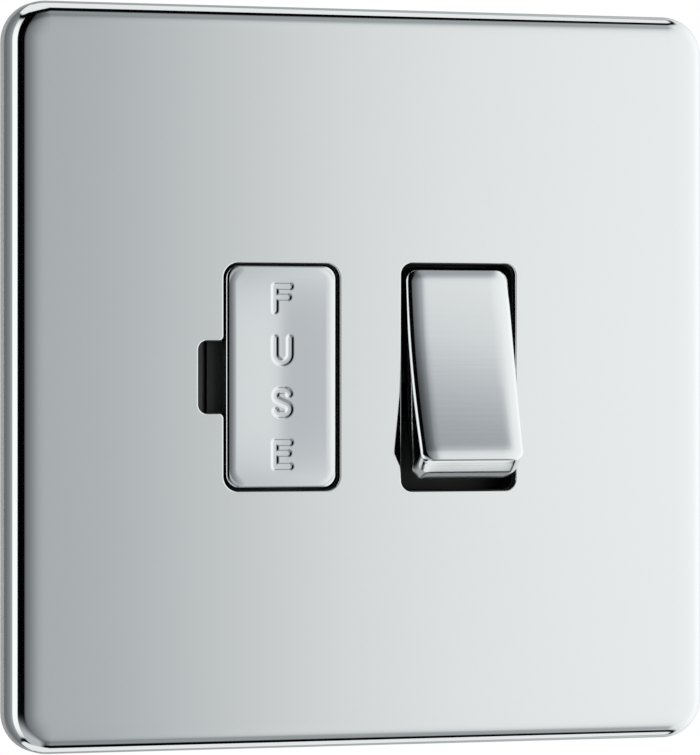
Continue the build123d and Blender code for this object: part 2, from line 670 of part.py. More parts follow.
os.makedirs("parts", exist_ok=True)
for name, piece in PIECES.items():
    export_step(piece, f"parts/{name}.step")
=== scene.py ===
import bmesh
import bpy
import json
from math import asin, atan2, cos, degrees, hypot, pi, radians, sin, sqrt, tan
from mathutils import Matrix, Vector


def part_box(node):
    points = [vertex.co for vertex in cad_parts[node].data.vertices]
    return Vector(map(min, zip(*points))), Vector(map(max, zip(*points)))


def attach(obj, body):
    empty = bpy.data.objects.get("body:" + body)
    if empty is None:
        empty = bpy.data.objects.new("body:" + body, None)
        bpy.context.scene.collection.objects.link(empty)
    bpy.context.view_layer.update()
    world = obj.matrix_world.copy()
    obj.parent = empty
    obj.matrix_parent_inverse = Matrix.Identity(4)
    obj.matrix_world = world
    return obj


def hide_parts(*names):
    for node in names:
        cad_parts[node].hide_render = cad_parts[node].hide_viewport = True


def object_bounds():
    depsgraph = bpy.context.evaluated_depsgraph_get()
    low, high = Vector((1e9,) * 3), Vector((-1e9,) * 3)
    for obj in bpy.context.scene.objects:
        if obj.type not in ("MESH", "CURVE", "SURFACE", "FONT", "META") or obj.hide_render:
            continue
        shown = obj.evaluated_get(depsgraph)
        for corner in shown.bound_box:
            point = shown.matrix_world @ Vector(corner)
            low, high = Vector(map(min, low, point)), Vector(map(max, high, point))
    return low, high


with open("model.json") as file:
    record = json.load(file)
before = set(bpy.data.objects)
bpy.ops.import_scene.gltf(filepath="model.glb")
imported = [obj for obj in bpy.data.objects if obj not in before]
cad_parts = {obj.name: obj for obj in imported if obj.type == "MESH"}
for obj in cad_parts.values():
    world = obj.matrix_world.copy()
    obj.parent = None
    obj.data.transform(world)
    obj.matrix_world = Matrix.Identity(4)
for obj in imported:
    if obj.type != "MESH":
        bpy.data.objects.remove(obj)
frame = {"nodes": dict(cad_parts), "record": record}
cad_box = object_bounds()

MM = 0.001

# Photograph's frame and the camera that took it
IMAGE_WIDTH = 700
IMAGE_HEIGHT = 755
FOCAL_PIXELS = 4802.0
SENSOR = 36.0
CAMERA_YAW = radians(19.97)
CAMERA_DISTANCE = 584.9 * MM
CAMERA_DROP = 0.37 * MM
AIM_X = -2.22 * MM
AIM_Z = -0.04 * MM

# Studio: directions in degrees round the plate's normal, right positive
FLOOR_DROP = 160.0 * MM
FLOOR_SIZE = 6.0
FLOOR_COLOUR = "#EEEEEC"
FLOOR_ROUGHNESS = 0.7
FLOOR_FADE = (0.25, 0.9)
ROOM_FILL = 0.85
LAMP_POWER = 1.2
LAMP_SIZE = 0.6
KEY_PLACE = (-0.5, -0.9, 0.9)
REAR_PLACE = (0.6, 1.0, 0.8)

# Light mirrored at eye level, as (bearing, strength): dark behind the camera, panels either side
EYE_LEVEL = [
    (-180, 0.3), (-164, 0.18), (-120, 0.27), (-97, 0.4), (-89, 0.5), (-83, 1.26), (-50, 1.26), (-45, 0.0),
    (-5, 0.0), (-3.5, 0.13), (0, 0.19), (6, 0.27), (11, 0.375), (14, 0.47), (16.3, 0.525), (16.8, 0.565),
    (17.4, 0.62), (19.2, 0.83), (20, 0.91), (21, 0.975), (22.3, 1.03), (23.7, 1.08), (30, 1.105), (44, 1.14),
    (83, 1.27), (123, 1.2), (138, 0.95), (147, 0.6), (156, 0.5), (180, 0.35),
]
# Height at which each panel is down to half its strength, as (bearing, elevation)
PANEL_TOP = [
    (-180, 90), (-100, 90), (-88, 58), (-45, 58), (-30, 29), (22, 29), (25, 32), (30, 35), (36, 43), (44, 58),
    (60, 62), (125, 60), (145, 85), (180, 90),
]
# Fall of a panel's light with height, as (share of that height, share of its strength)
PANEL_FALL = [
    (0, 1.0), (0.36, 0.97), (0.56, 0.93), (0.68, 0.86), (0.78, 0.79), (0.86, 0.67), (0.93, 0.57),
    (1.01, 0.465), (1.1, 0.4), (1.33, 0.37), (1.6, 0.33), (1.9, 0.2), (2.0, 0.1),
]
FALL_SPAN = 2.0
# Elevations over which every panel comes to its end
PANEL_END = (50.0, 57.0)
# Lower edge of the white ceiling, mirrored below eye level, as (bearing, elevation)
CEILING = [
    (-180, 45), (-150, 47), (-130, 56), (-90, 64), (-60, 72), (56, 72), (64, 68), (69, 64), (80, 62),
    (115, 60), (133, 56), (143, 55), (180, 54),
]
CEILING_EDGE = 2.5
CEILING_LIGHT = 1.04
# Pale ground in front, as (bearing, strength), and the depths below eye level over which it comes up
GROUND = [(-180, 0.0), (-60, 0.0), (-50, 0.6), (2, 0.6), (16, 0.0), (180, 0.0)]
GROUND_RISE = (4.0, 38.0)
# Mirrored light is a little cold where it is dim, as (strength, colour)
TINT = [(0.0, (0.92, 1.0, 1.05)), (0.5, (0.94, 1.0, 1.03)), (1.0, (0.98, 1.0, 1.0))]

# Plate, in the CAD's sizes
PLATE_CORNER = 5.0 * MM
SHEET = 1.0 * MM
FLAT_RING = 0.15 * MM
PRY_W = 12.0 * MM
PRY_H = 1.0 * MM
OPENING_R = 1.4 * MM
ROCKER_OPENING = (15.0 * MM, 27.89 * MM)
FUSE_OPENING = (14.9 * MM, 27.6 * MM)
FUSE_OPENING_R = 1.85 * MM
NOTCH_REACH = 3.2 * MM
NOTCH_H = 8.8 * MM
NOTCH_R = 1.1 * MM
NOTCH_ROOT_R = 0.6 * MM

# Rocker's cap about its pivot, and how far its ends stand from the middle at the face and at the skirt
ROCKER_W = 13.7 * MM
ROCKER_CORNER = 1.4 * MM
SIDE_BOW = 0.2 * MM
DISH_R = 110.0 * MM
EDGE_RISE = 6.1 * MM
EDGE_HALF = 12.05 * MM
FACE_TOP = 12.1 * MM
FACE_FOOT = 12.15 * MM
SKIRT_RISE = 1.6 * MM
SKIRT_HALF = 13.15 * MM
END_KNEE = 0.42
KNEE_TURN = 0.75 * MM
KNEE_ROUND = 0.03
ROCKER_TILT = radians(14.0)
ROCKER_SKIN = 0.7 * MM
ROCKER_CUT = 0.5 * MM
WALL_STEPS = 24

# Buffed edges in mm and degrees, from the face out: a soft band that steepens to a slope, a round to an
# end slope, a facet and an arris
PLATE_EDGE = {"band": 2.5, "power": 2, "slope": 10, "radius": 2.0, "end": 90, "facet": 0.0, "arris": 0.0}
PLATE_TOP = {**PLATE_EDGE, "radius": 2.4}
# Share of the fuller top edge at the plate's middle, and the width over which that changes by one
TOP_FULL = 0.8
TOP_TAPER = 64.0 * MM
ROCKER_SIDE = {"band": 2.2, "power": 2, "slope": 11, "radius": 1.4, "end": 37, "facet": 0.0, "arris": 0.25}
ROCKER_TOP = {"band": 1.45, "power": 1, "slope": 15, "radius": 0.15, "end": 60, "facet": 0.0, "arris": 0.1}
ROCKER_FOOT = {"band": 1.5, "power": 1, "slope": 13, "radius": 0.5, "end": 64, "facet": 0.25, "arris": 0.0}
CARRIER_LEFT = {"band": 0.8, "power": 1, "slope": 10, "radius": 0.75, "end": 36, "facet": 0.0, "arris": 0.15}
CARRIER_RIGHT = {"band": 0.9, "power": 2, "slope": 4, "radius": 0.35, "end": 36, "facet": 0.0, "arris": 0.15}
CARRIER_END = {"band": 0.8, "power": 2, "slope": 3, "radius": 0.6, "end": 26, "facet": 0.0, "arris": 0.1}
LIP_EDGE = {"band": 0.12, "power": 2, "slope": 6, "radius": 0.12, "end": 90, "facet": 0.0, "arris": 0.0}
ROCKER_EDGES = {"left": ROCKER_SIDE, "right": ROCKER_SIDE, "top": ROCKER_TOP, "foot": ROCKER_FOOT}
CARRIER_EDGES = {"left": CARRIER_LEFT, "right": CARRIER_RIGHT, "top": CARRIER_END, "foot": CARRIER_END}
EDGE_TURN = 7.0
BAND_STEPS = 8

# Fuse carrier's cap and the word cut into it
CARRIER_CORNER = 1.6 * MM
CARRIER_SKIN = 0.9 * MM
LETTER_PITCH = 6.3 * MM
WORD_X = 0.06 * MM
WORD_Z = 0.09 * MM
GROOVE_HALF = 0.5 * MM
GROOVE_FLOOR = 0.23 * MM
GROOVE_DEPTH = 0.077 * MM
FACE_STEP = 0.08 * MM
TOP_EASE = 0.08 * MM
LEFT_EASE = 0.15 * MM
RIGHT_EASE = 0.3 * MM
FOOT_EASE = 0.2 * MM
SOFT_CORNER = 2.3 * MM
SOFT_CUTS = 4
LETTER_HALF = 0.965 * MM
SINK_SLOPE = 0.0125
SINK_ROUND = 1.0 * MM
FACE_LEAN = 0.003

# Buffing reaches the rocker's face out to here; its ends are left duller
BUFFED_HALF = 12.0 * MM
END_BLEND = 0.3 * MM
END_DULL = 0.08

# Unevenness of the finishes: size of their patches, span of a noise's values, drift of the sheen
HAZE_SIZE = 7.0 * MM
FLOW_SIZE = 9.0 * MM
CLOUD_SIZE = 4.0 * MM
NOISE_LOW = 0.3
NOISE_HIGH = 0.7
SHEEN_DRIFT = 0.08
LINE_SHINE = 0.06
LINE_DULL = 0.1
BELT_STRETCH = 0.03

# Meshing
SHARP_ANGLE = 35.0
CORNER_STEPS = 12
RING_GAP = 0.003 * MM
CUT_SNAP = 1e-8
PRY_SNAP = 1e-7
PRY_MARGIN = 1e-6
FACING = 0.9

# Rocker's pivot, as the part has it
HINGE = next(j for j in frame["record"]["behaviour"]["joints"] if j["name"] == "rocker_hinge")["pos_m"]


def linear(hex_colour):
    """Linear colour of an sRGB hex value"""
    channels = [int(hex_colour[i:i + 2], 16) / 255 for i in (1, 3, 5)]
    return [c / 12.92 if c <= 0.04045 else ((c + 0.055) / 1.055) ** 2.4 for c in channels] + [1.0]


def add_node(tree, kind, inputs=None, **settings):
    """Node with its settings; an input is a value or the socket that feeds it"""
    node = tree.nodes.new(kind)
    for name, value in settings.items():
        setattr(node, name, value)
    for name, value in (inputs or {}).items():
        if isinstance(value, bpy.types.NodeSocket):
            tree.links.new(value, node.inputs[name])
        else:
            node.inputs[name].default_value = value
    return node


def set_stops(ramp, stops):
    """Colour ramp through (place, grey level or colour) stops"""
    elements = ramp.color_ramp.elements
    while len(elements) < len(stops):
        elements.new(1.0)
    for element, (place, level) in zip(elements, stops):
        element.position = place
        element.color = (*level, 1.0) if isinstance(level, tuple) else (level, level, level, 1.0)
    return ramp


def new_material(name):
    """Empty node material with its shader and output; returns the material, its tree and the shader"""
    material = bpy.data.materials.new(name)
    material.use_nodes = True
    tree = material.node_tree
    tree.nodes.clear()
    shader = add_node(tree, "ShaderNodeBsdfPrincipled")
    add_node(tree, "ShaderNodeOutputMaterial", {"Surface": shader.outputs[0]})
    return material, tree, shader


def polished_chromium(name, colour, roughness, haze, line_spacing=0.0, line_depth=0.0, ends=0.0):
    """Chromium plate, buffed: a mirror with a faint uneven haze; fine lines along X and duller ends if asked"""
    material, tree, shader = new_material(name)
    shader.inputs["Base Color"].default_value = linear(colour)
    shader.inputs["Metallic"].default_value = 1.0
    coords = add_node(tree, "ShaderNodeTexCoord")
    patches = add_node(tree, "ShaderNodeTexNoise", {
        "Vector": coords.outputs["Object"], "Scale": 1 / HAZE_SIZE, "Detail": 3.0,
    })
    spread = add_node(tree, "ShaderNodeMapRange", {
        "Value": patches.outputs["Fac"], "From Min": NOISE_LOW, "From Max": NOISE_HIGH,
        "To Min": roughness, "To Max": haze,
    })
    tree.links.new(spread.outputs[0], shader.inputs["Roughness"])
    if ends:
        upright = add_node(tree, "ShaderNodeMapping", {
            "Vector": coords.outputs["Object"], "Location": HINGE, "Rotation": (-ROCKER_TILT, 0, 0),
        }, vector_type="TEXTURE")
        axes = add_node(tree, "ShaderNodeSeparateXYZ", {"Vector": upright.outputs[0]})
        off_middle = add_node(tree, "ShaderNodeMath", {0: axes.outputs["Z"]}, operation="ABSOLUTE")
        dulled = add_node(tree, "ShaderNodeMapRange", {
            "Value": off_middle.outputs[0], "From Min": ends, "From Max": ends + END_BLEND, "To Max": END_DULL,
        })
        total = add_node(tree, "ShaderNodeMath", {
            0: spread.outputs[0], 1: dulled.outputs[0],
        }, operation="ADD")
        tree.links.new(total.outputs[0], shader.inputs["Roughness"])
    if line_depth:
        stretch = add_node(tree, "ShaderNodeMapping", {
            "Vector": coords.outputs["Object"],
            "Scale": (BELT_STRETCH / line_spacing, 1 / line_spacing, 1 / line_spacing),
        })
        lines = add_node(tree, "ShaderNodeTexNoise", {
            "Vector": stretch.outputs[0], "Scale": 1.0, "Detail": 2.0,
        })
        bump = add_node(tree, "ShaderNodeBump", {
            "Height": lines.outputs["Fac"], "Distance": line_depth, "Strength": 1.0,
        })
        tree.links.new(bump.outputs[0], shader.inputs["Normal"])
    return material


def moulded_plastic(name, colour, roughness, grain, grain_depth, fleck, ior):
    """Moulded or pressed body: one colour all through, flecked by its pits, its sheen drifting as it flowed"""
    material, tree, shader = new_material(name)
    shader.inputs["IOR"].default_value = ior
    coords = add_node(tree, "ShaderNodeTexCoord")
    pits = add_node(tree, "ShaderNodeTexNoise", {
        "Vector": coords.outputs["Object"], "Scale": 1 / grain, "Detail": 2.0,
    })
    level = add_node(tree, "ShaderNodeMapRange", {
        "Value": pits.outputs["Fac"], "From Min": NOISE_LOW, "From Max": NOISE_HIGH,
    })
    dark, light = [[c * k for c in linear(colour)[:3]] + [1.0] for k in (1 - fleck, 1 + fleck)]
    tint = add_node(tree, "ShaderNodeMix", {"Factor": level.outputs[0]}, data_type="RGBA")
    tint.inputs[6].default_value = dark
    tint.inputs[7].default_value = light
    tree.links.new(tint.outputs[2], shader.inputs["Base Color"])
    flow = add_node(tree, "ShaderNodeTexNoise", {
        "Vector": coords.outputs["Object"], "Scale": 1 / FLOW_SIZE, "Detail": 4.0,
    })
    spread = add_node(tree, "ShaderNodeMapRange", {
        "Value": flow.outputs["Fac"], "From Min": NOISE_LOW, "From Max": NOISE_HIGH,
        "To Min": roughness - SHEEN_DRIFT, "To Max": roughness + SHEEN_DRIFT,
    })
    tree.links.new(spread.outputs[0], shader.inputs["Roughness"])
    bump = add_node(tree, "ShaderNodeBump", {
        "Height": pits.outputs["Fac"], "Distance": grain_depth, "Strength": 1.0,
    })
    tree.links.new(bump.outputs[0], shader.inputs["Normal"])
    return material


def worked_metal(name, colour, dull, roughness, line, stretch, line_depth):
    """Rolled, drawn or machined metal: lines from the tool, with duller patches where it has been handled"""
    material, tree, shader = new_material(name)
    shader.inputs["Metallic"].default_value = 1.0
    coords = add_node(tree, "ShaderNodeTexCoord")
    cloud = add_node(tree, "ShaderNodeTexNoise", {
        "Vector": coords.outputs["Object"], "Scale": 1 / CLOUD_SIZE, "Detail": 5.0,
    })
    tint = add_node(tree, "ShaderNodeMix", {"Factor": cloud.outputs["Fac"]}, data_type="RGBA")
    tint.inputs[6].default_value = linear(colour)
    tint.inputs[7].default_value = linear(dull)
    tree.links.new(tint.outputs[2], shader.inputs["Base Color"])
    scale = [s / line for s in stretch]
    mapping = add_node(tree, "ShaderNodeMapping", {"Vector": coords.outputs["Object"], "Scale": scale})
    lines = add_node(tree, "ShaderNodeTexNoise", {"Vector": mapping.outputs[0], "Scale": 1.0, "Detail": 3.0})
    spread = add_node(tree, "ShaderNodeMapRange", {
        "Value": lines.outputs["Fac"], "To Min": roughness - LINE_SHINE, "To Max": roughness + LINE_DULL,
    })
    tree.links.new(spread.outputs[0], shader.inputs["Roughness"])
    bump = add_node(tree, "ShaderNodeBump", {
        "Height": lines.outputs["Fac"], "Distance": line_depth, "Strength": 1.0,
    })
    tree.links.new(bump.outputs[0], shader.inputs["Normal"])
    return material


FINISHES = {
    # Chromium plate, buffed with a soft mop: a near mirror with a faint uneven haze
    "polished_plate": polished_chromium("buffed_chromium_plate", "#E3E4E4", roughness=0.035, haze=0.06),
    "polished_carrier": polished_chromium("buffed_chromium_carrier", "#E2E4E5", roughness=0.04, haze=0.06),
    # The same over belt-ground metal: lines across the face, drawn coarser than real so that they show, and
    # ends that the mop reached less
    "polished_rocker": polished_chromium(
        "belted_chromium_rocker", "#E2E4E5", roughness=0.05, haze=0.08,
        line_spacing=0.4 * MM, line_depth=0.003 * MM, ends=BUFFED_HALF,
    ),
    # Polycarbonate from a spark-eroded tool: a dull even sheen over fine pits, drawn five times too coarse
    # so that they show
    "frame_moulding": moulded_plastic(
        "pale_moulded_polycarbonate", "#B2B4B5", roughness=0.5,
        grain=0.5 * MM, grain_depth=0.02 * MM, fleck=0.07, ior=1.58,
    ),
    "black_moulding": moulded_plastic(
        "black_moulded_housing", "#101011", roughness=0.5,
        grain=0.3 * MM, grain_depth=0.003 * MM, fleck=0.1, ior=1.55,
    ),
    "cover_moulding": moulded_plastic(
        "black_moulded_cover", "#202021", roughness=0.46,
        grain=0.55 * MM, grain_depth=0.05 * MM, fleck=0.3, ior=1.55,
    ),
    # Nylon from a smoother tool: blacker, with a soft shine where it slides; its pits are drawn as coarse
    "dolly_moulding": moulded_plastic(
        "black_moulded_dolly", "#1C1C1D", roughness=0.42,
        grain=0.4 * MM, grain_depth=0.012 * MM, fleck=0.2, ior=1.53,
    ),
    "drawer_moulding": moulded_plastic(
        "black_moulded_drawer", "#1D1D1E", roughness=0.4,
        grain=0.4 * MM, grain_depth=0.012 * MM, fleck=0.2, ior=1.53,
    ),
    "plunger_nylon": moulded_plastic(
        "natural_moulded_nylon", "#E0DED6", roughness=0.38,
        grain=0.3 * MM, grain_depth=0.004 * MM, fleck=0.05, ior=1.53,
    ),
    # Steatite, pressed and fired unglazed: chalky, off-white, with a fine tooth
    "fuse_ceramic": moulded_plastic(
        "fired_ceramic_barrel", "#E9E6DE", roughness=0.55,
        grain=0.25 * MM, grain_depth=0.01 * MM, fleck=0.06, ior=1.6,
    ),
    # Zinc plate, barrel-finished: bright but cloudy, and straw-coloured where it is passivated
    "zinc_screws": worked_metal(
        "bright_zinc_plate", "#C6C9CB", "#A9ADB0", roughness=0.3,
        line=0.2 * MM, stretch=(1, 1, 1), line_depth=0.004 * MM,
    ),
    "terminal_screws": worked_metal(
        "passivated_zinc_plate", "#CBC4A6", "#B3A97F", roughness=0.32,
        line=0.2 * MM, stretch=(1, 1, 1), line_depth=0.004 * MM,
    ),
    # Brass off the bar, bronze and copper off the roll: lines along the metal, drawn coarser than real so
    # that they show, and browner patches where it has been handled
    "terminal_brass": worked_metal(
        "machined_brass", "#D6B46A", "#B4924E", roughness=0.3,
        line=0.2 * MM, stretch=(1, 0.06, 1), line_depth=0.003 * MM,
    ),
    "leaf_bronze": worked_metal(
        "rolled_bronze_leaf", "#C69B74", "#A87C57", roughness=0.32,
        line=0.2 * MM, stretch=(1, 0.06, 0.06), line_depth=0.003 * MM,
    ),
    "arm_copper": worked_metal(
        "rolled_copper_bar", "#CE9275", "#A66D50", roughness=0.3,
        line=0.2 * MM, stretch=(1, 1, 0.05), line_depth=0.003 * MM,
    ),
    # Silver pressed into buttons: white and satin, with no direction
    "contact_silver": worked_metal(
        "pressed_silver_tip", "#DFDDD8", "#C4C1BA", roughness=0.36,
        line=0.15 * MM, stretch=(1, 1, 1), line_depth=0.003 * MM,
    ),
    # Steel wire drawn through a die: grey and bright
    "spring_steel": worked_metal(
        "drawn_spring_wire", "#BFC0C1", "#9B9C9E", roughness=0.28,
        line=0.1 * MM, stretch=(1, 1, 1), line_depth=0.002 * MM,
    ),
    # Nickel plate on drawn caps: warm and bright, with faint lines along the fuse
    "fuse_cap_metal": worked_metal(
        "bright_nickel_cap", "#D8D5CC", "#C2BEB2", roughness=0.2,
        line=0.2 * MM, stretch=(1, 1, 0.1), line_depth=0.002 * MM,
    ),
}


def dress_nodes():
    """Every CAD node takes the finish of its slot"""
    slots = {part["node"]: part["material_slot"] for part in frame["record"]["subparts"]}
    for name, node in frame["nodes"].items():
        node.data.materials.clear()
        node.data.materials.append(FINISHES[slots[name]])


def finish_piece(name, mesh, body, slot, *replaced):
    """Object from a finished bmesh: smooth but for its arrises, in its slot's finish, riding its body"""
    bmesh.ops.recalc_face_normals(mesh, faces=mesh.faces)
    data = bpy.data.meshes.new(name)
    mesh.to_mesh(data)
    mesh.free()
    data.shade_smooth()
    data.set_sharp_from_angle(angle=radians(SHARP_ANGLE))
    data.materials.append(FINISHES[slot])
    piece = bpy.data.objects.new(name, data)
    bpy.context.scene.collection.objects.link(piece)
    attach(piece, body)
    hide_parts(*replaced)


def edge_widths(edge):
    """Distances in from the outline at which an edge's arris, facet, round and soft band end"""
    slope = sin(radians(edge["slope"]))
    end = sin(radians(edge["end"]))
    arris = edge["arris"] * MM * (1 - end)
    facet = arris + edge["facet"] * MM
    round_off = facet + edge["radius"] * MM * (end - slope)
    return arris, facet, round_off, round_off + edge["band"] * MM


def band_fall(edge, inset):
    """How far an edge's soft band has fallen, at a distance in from the outline"""
    band = edge["band"] * MM
    share = min(max((edge_widths(edge)[3] - inset) / band, 0), 1)
    rise = edge["power"] + 1
    return tan(radians(edge["slope"])) * band / rise * share**rise


def round_fall(edge, inset):
    """How far an edge's round, facet and arris have fallen below its soft band"""
    arris, facet, round_off, _ = edge_widths(edge)
    radius = edge["radius"] * MM
    start = radians(edge["slope"])
    end = radians(edge["end"])
    if inset >= round_off:
        return 0.0
    if inset >= facet:
        return radius * (cos(start) - cos(asin(min(sin(end) - (inset - facet) / radius, 1))))
    fall = radius * (cos(start) - cos(end)) + tan(end) * (facet - max(inset, arris))
    if inset < arris:
        tip = edge["arris"] * MM
        fall += tip * (cos(end) - cos(asin(1 - inset / tip)))
    return fall


def edge_fall(edge, inset):
    """How far a face has fallen toward its edge"""
    return band_fall(edge, inset) + round_fall(edge, inset)


def edge_steps(edge):
    """Distances in from the outline for an edge's rings: even turns of the rounds, even steps of the band"""
    _, facet, round_off, _ = edge_widths(edge)
    steps = [0.0]
    turns = round((90 - edge["end"]) / EDGE_TURN)
    for i in range(1, turns + 1):
        steps.append(edge["arris"] * MM * (1 - sin(radians(90 - i * (90 - edge["end"]) / turns))))
    if edge["facet"]:
        steps.append(facet)
    turns = max(round((edge["end"] - edge["slope"]) / EDGE_TURN), 1)
    for i in range(1, turns + 1):
        slope = edge["end"] - i * (edge["end"] - edge["slope"]) / turns
        steps.append(facet + edge["radius"] * MM * (sin(radians(edge["end"])) - sin(radians(slope))))
    return steps + [round_off + (i + 1) / BAND_STEPS * edge["band"] * MM for i in range(BAND_STEPS)]


def largest_face(verts):
    """Face with most corners among those round some vertices"""
    return max({f for v in verts if v.is_valid for f in v.link_faces}, key=lambda f: len(f.verts))


def round_corners(mesh, corners, radius):
    """Round some corners of a flat panel; returns the new vertices"""
    return bmesh.ops.bevel(
        mesh, geom=corners, offset=radius, affect="VERTICES", segments=CORNER_STEPS, profile=0.5, material=-1
    )["verts"]


def rounded_panel(mesh, width, height, corner, x, y, z):
    """Flat panel facing the front with rounded corners; returns its face"""
    turn = Matrix.Translation((x, y, z)) @ Matrix.Rotation(pi / 2, 4, "X")
    shape = turn @ Matrix.Diagonal((width / 2, height / 2, 1, 1))
    corners = bmesh.ops.create_grid(mesh, x_segments=1, y_segments=1, size=1.0, matrix=shape)["verts"]
    return largest_face(round_corners(mesh, corners, corner))


def slice_at(mesh, place, normal):
    """Cut a mesh's faces along a plane"""
    whole = [*mesh.verts, *mesh.edges, *mesh.faces]
    bmesh.ops.bisect_plane(mesh, geom=whole, plane_co=place, plane_no=normal, dist=CUT_SNAP)


def ring_in(mesh, face, steps, fall):
    """Rings inside a panel's outline, set forward or back as the panel falls; returns the outline's loop"""
    outline = []
    done = 0.0
    for step in steps[1:]:
        ring = bmesh.ops.inset_region(
            mesh, faces=[face], thickness=step - done, use_even_offset=True, use_boundary=True
        )["faces"]
        outline = outline or [e for f in ring for e in f.edges if e.is_boundary]
        bmesh.ops.translate(mesh, verts=face.verts, vec=(0, fall(step) - fall(done), 0))
        done = step
    return outline


def open_face(mesh, face):
    """Remove a face and return the loop of edges that it leaves"""
    loop = list(face.edges)
    bmesh.ops.delete(mesh, geom=[face], context="FACES_ONLY")
    return loop


def draw_to(mesh, loop, depth):
    """Wall drawn from a loop of edges straight to a depth; returns the new loop"""
    grown = bmesh.ops.extrude_edge_only(mesh, edges=loop)["geom"]
    for vert in [g for g in grown if isinstance(g, bmesh.types.BMVert)]:
        vert.co.y = depth
    return [g for g in grown if isinstance(g, bmesh.types.BMEdge)]


def fold_in(mesh, loop, rear, skin, floor):
    """Outer wall back from a loop, a rim one skin wide, an inner wall forward to the floor; returns its loop"""
    rim = bmesh.ops.edgeloop_fill(mesh, edges=draw_to(mesh, loop, rear))["faces"][0]
    bmesh.ops.inset_region(mesh, faces=[rim], thickness=skin, use_even_offset=True, use_boundary=True)
    return draw_to(mesh, open_face(mesh, rim), floor)


def fuse_panel(mesh, grow, x, y):
    """Panel of the fuse opening with the notch at its left, a little larger all round; returns its face"""
    width, height = FUSE_OPENING
    turn = Matrix.Translation((x, y, 0)) @ Matrix.Rotation(pi / 2, 4, "X")
    shape = turn @ Matrix.Diagonal((width / 2 + grow, height / 2 + grow, 1, 1))
    corners = bmesh.ops.create_grid(mesh, x_segments=1, y_segments=1, size=1.0, matrix=shape)["verts"]
    left = min((e for e in corners[0].link_faces[0].edges), key=lambda e: e.verts[0].co.x + e.verts[1].co.x)
    roots = bmesh.ops.subdivide_edges(mesh, edges=[left], cuts=2)["geom_inner"]
    roots = sorted((g for g in roots if isinstance(g, bmesh.types.BMVert)), key=lambda v: v.co.z)
    corners = [v for v in roots[0].link_faces[0].verts if v not in roots]
    for vert, side in zip(roots, (-1, 1)):
        vert.co.z = side * (NOTCH_H / 2 + grow)
    mouth = next(e for e in roots[0].link_edges if e.other_vert(roots[0]) is roots[1])
    grown = bmesh.ops.extrude_edge_only(mesh, edges=[mouth])["geom"]
    tips = [g for g in grown if isinstance(g, bmesh.types.BMVert)]
    bmesh.ops.translate(mesh, verts=tips, vec=(-NOTCH_REACH, 0, 0))
    bmesh.ops.dissolve_faces(mesh, faces=list(mouth.link_faces), use_verts=False)
    round_corners(mesh, corners, FUSE_OPENING_R + grow)
    round_corners(mesh, tips, NOTCH_R + grow)
    return largest_face(round_corners(mesh, roots, NOTCH_ROOT_R - grow))


def pry_slot(mesh, rear, edge):
    """Slot for a blade, cut through the rear of the plate's bottom wall"""
    def wall():
        faces = [f for f in mesh.faces if f.calc_center_median().z < edge + SHEET + FLAT_RING]
        faces = [f for f in faces if abs(f.normal.z) > FACING or f.normal.y > FACING]
        return list(dict.fromkeys(g for f in faces for g in (f, *f.edges, *f.verts)))

    for place, normal in (
        ((-PRY_W / 2, 0, 0), (1, 0, 0)), ((PRY_W / 2, 0, 0), (1, 0, 0)), ((0, rear - PRY_H, 0), (0, 1, 0)),
    ):
        bmesh.ops.bisect_plane(mesh, geom=wall(), plane_co=place, plane_no=normal, dist=PRY_SNAP)
    cut = []
    for face in mesh.faces:
        middle = face.calc_center_median()
        if middle.z < edge + SHEET + PRY_MARGIN and abs(middle.x) < PRY_W / 2 and middle.y > rear - PRY_H:
            cut.append(face)
    bmesh.ops.delete(mesh, geom=cut, context="FACES")
    bmesh.ops.bridge_loops(mesh, edges=[e for e in mesh.edges if e.is_boundary])


def corner_inset(beside, beyond, corner):
    """Distance in from a rounded corner and its end's share against its side's; nothing off the corner"""
    in_x = corner - beside
    in_z = corner - beyond
    if in_x > 0 and in_z > 0:
        return corner - hypot(in_x, in_z), in_z**2 / (in_x**2 + in_z**2)
    return None


def fuller_top(mesh, low, high):
    """Plate's top edge rolls over more fully at its left, blended into the sides' round the corners"""
    reach = edge_widths(PLATE_EDGE)[3]
    for vert in mesh.verts:
        beside = (high.x - low.x) / 2 - abs(vert.co.x)
        beyond = high.z - vert.co.z
        inset, share = corner_inset(beside, beyond, PLATE_CORNER) or (beyond, 1.0)
        if inset < reach:
            inset = max(inset, 0.0)
            share *= TOP_FULL - vert.co.x / TOP_TAPER
            vert.co.y += share * (edge_fall(PLATE_TOP, inset) - edge_fall(PLATE_EDGE, inset))


